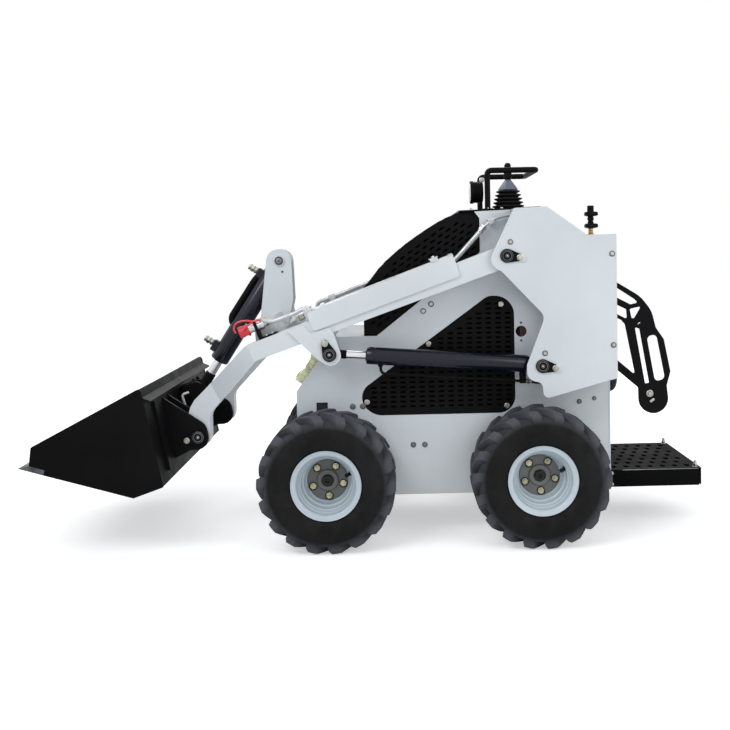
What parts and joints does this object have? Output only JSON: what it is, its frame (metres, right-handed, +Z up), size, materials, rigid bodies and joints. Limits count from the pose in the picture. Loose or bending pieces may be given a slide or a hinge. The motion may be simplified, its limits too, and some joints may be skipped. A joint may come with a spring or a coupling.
{
  "type": "skid steer loader",
  "caption": "Compact stand-on wheeled loader: white body with raised rear column, two lift arms, a tilting bucket, four lugged tyres and a rear platform.",
  "frame": {"origin": "on the ground under the middle of the machine's length and width", "axes": "+X to the rear platform, -X to the bucket, -Y to the machine's left side, +Z up"},
  "size_m": [2.409, 1.05, 1.3686],
  "materials": {
    "black_paint": "satin",
    "bright_steel": "brushed",
    "chrome_rod": "polished",
    "cylinder_paint": "gloss",
    "lamp_lens": "clear",
    "motor_steel": "rough",
    "red_cap": "satin",
    "rim_paint": "satin",
    "soft_rubber": "matte",
    "tyre_rubber": "matte",
    "white_paint": "gloss",
    "yellow_zinc": "satin"
  },
  "bodies": {
    "chassis": {"side_plate_left": "white_paint", "side_plate_right": "white_paint", "outer_plate_left": "white_paint", "outer_plate_right": "white_paint", "front_plate": "white_paint", "floor_plate": "white_paint", "rear_plate": "white_paint", "rear_deck": "white_paint", "console_plate": "black_paint", "vent_grille_left": "black_paint", "vent_grille_right": "black_paint", "side_pipe": "bright_steel", "hood": "black_paint", "grab_bar": "black_paint", "lever_boot": "soft_rubber", "control_lever": "black_paint", "work_lamp": "black_paint", "lamp_lens": "lamp_lens", "deck_valve": "motor_steel", "engine_block": "motor_steel", "nose_valve_block": "yellow_zinc", "platform": "black_paint", "knee_pad": "soft_rubber", "guard_plate": "black_paint", "wheel_motor_front_left": "motor_steel", "wheel_motor_front_right": "motor_steel", "wheel_motor_rear_left": "motor_steel", "wheel_motor_rear_right": "motor_steel"},
    "wheel_front_left": {"tyre_front_left": "tyre_rubber", "rim_front_left": "rim_paint"},
    "wheel_front_right": {"tyre_front_right": "tyre_rubber", "rim_front_right": "rim_paint"},
    "wheel_rear_left": {"tyre_rear_left": "tyre_rubber", "rim_rear_left": "rim_paint"},
    "wheel_rear_right": {"tyre_rear_right": "tyre_rubber", "rim_rear_right": "rim_paint"},
    "arm": {"lift_arm": "white_paint", "arm_cover_left": "white_paint", "arm_cover_right": "white_paint", "arm_pipes": "bright_steel", "coupler_set": "motor_steel", "coupler_cap": "red_cap"},
    "bucket": {"bucket_shell": "black_paint", "cutting_edge": "black_paint", "attach_plate": "black_paint"},
    "lift_barrel_left_body": {"lift_barrel_left": "cylinder_paint"},
    "lift_rod_left_body": {"lift_rod_left": "chrome_rod"},
    "lift_barrel_right_body": {"lift_barrel_right": "cylinder_paint"},
    "lift_rod_right_body": {"lift_rod_right": "chrome_rod"},
    "tilt_barrel_body": {"tilt_barrel": "cylinder_paint"},
    "tilt_rod_body": {"tilt_rod": "chrome_rod"}
  },
  "joints": [
    {"name": "wheel_front_left_spin", "type": "hinge", "parent": "chassis", "child": "wheel_front_left", "pos_m": [-0.1665, -0.4175, 0.24], "axis": [0, 1, 0], "continuous": true},
    {"name": "wheel_front_right_spin", "type": "hinge", "parent": "chassis", "child": "wheel_front_right", "pos_m": [-0.1665, 0.4175, 0.24], "axis": [0, 1, 0], "continuous": true},
    {"name": "wheel_rear_left_spin", "type": "hinge", "parent": "chassis", "child": "wheel_rear_left", "pos_m": [0.5775, -0.4175, 0.24], "axis": [0, 1, 0], "continuous": true},
    {"name": "wheel_rear_right_spin", "type": "hinge", "parent": "chassis", "child": "wheel_rear_right", "pos_m": [0.5775, 0.4175, 0.24], "axis": [0, 1, 0], "continuous": true},
    {"name": "arm_lift", "type": "hinge", "parent": "chassis", "child": "arm", "pos_m": [0.4755, 0, 1.012], "axis": [0, 1, 0], "range_deg": [-10, 62]},
    {"name": "bucket_tilt", "type": "hinge", "parent": "arm", "child": "bucket", "pos_m": [-0.6355, 0, 0.383], "axis": [0, -1, 0], "range_deg": [-12, 98]},
    {"name": "lift_barrel_left_pivot", "type": "hinge", "parent": "chassis", "child": "lift_barrel_left_body", "pos_m": [0.5945, -0.362, 0.624], "axis": [0, 1, 0], "range_deg": [-7.57, 45.39]},
    {"name": "lift_rod_left_slide", "type": "slide", "parent": "lift_barrel_left_body", "child": "lift_rod_left_body", "axis": [-0.9973, 0, 0.0736], "range_m": [-0.0549, 0.3301]},
    {"name": "lift_barrel_right_pivot", "type": "hinge", "parent": "chassis", "child": "lift_barrel_right_body", "pos_m": [0.5945, 0.362, 0.624], "axis": [0, 1, 0], "range_deg": [-7.57, 45.39]},
    {"name": "lift_rod_right_slide", "type": "slide", "parent": "lift_barrel_right_body", "child": "lift_rod_right_body", "axis": [-0.9973, 0, 0.0736], "range_m": [-0.0549, 0.3301]},
    {"name": "tilt_barrel_pivot", "type": "hinge", "parent": "arm", "child": "tilt_barrel_body", "pos_m": [-0.36, 0, 1.0085], "axis": [0, 1, 0], "range_deg": [-0.64, 0.34]},
    {"name": "tilt_rod_slide", "type": "slide", "parent": "tilt_barrel_body", "child": "tilt_rod_body", "axis": [-0.5466, 0, -0.8374], "range_m": [-0.0285, 0.2184]}
  ],
  "couplings": [
    {"joint": "lift_barrel_left_pivot", "follows": "arm_lift", "ratio": 0.72725},
    {"joint": "lift_rod_left_slide", "follows": "arm_lift", "m_per_rad": 0.30325},
    {"joint": "lift_barrel_right_pivot", "follows": "arm_lift", "ratio": 0.72725},
    {"joint": "lift_rod_right_slide", "follows": "arm_lift", "m_per_rad": 0.30325},
    {"joint": "tilt_barrel_pivot", "follows": "bucket_tilt", "ratio": -0.0035},
    {"joint": "tilt_rod_slide", "follows": "bucket_tilt", "m_per_rad": 0.1265}
  ]
}
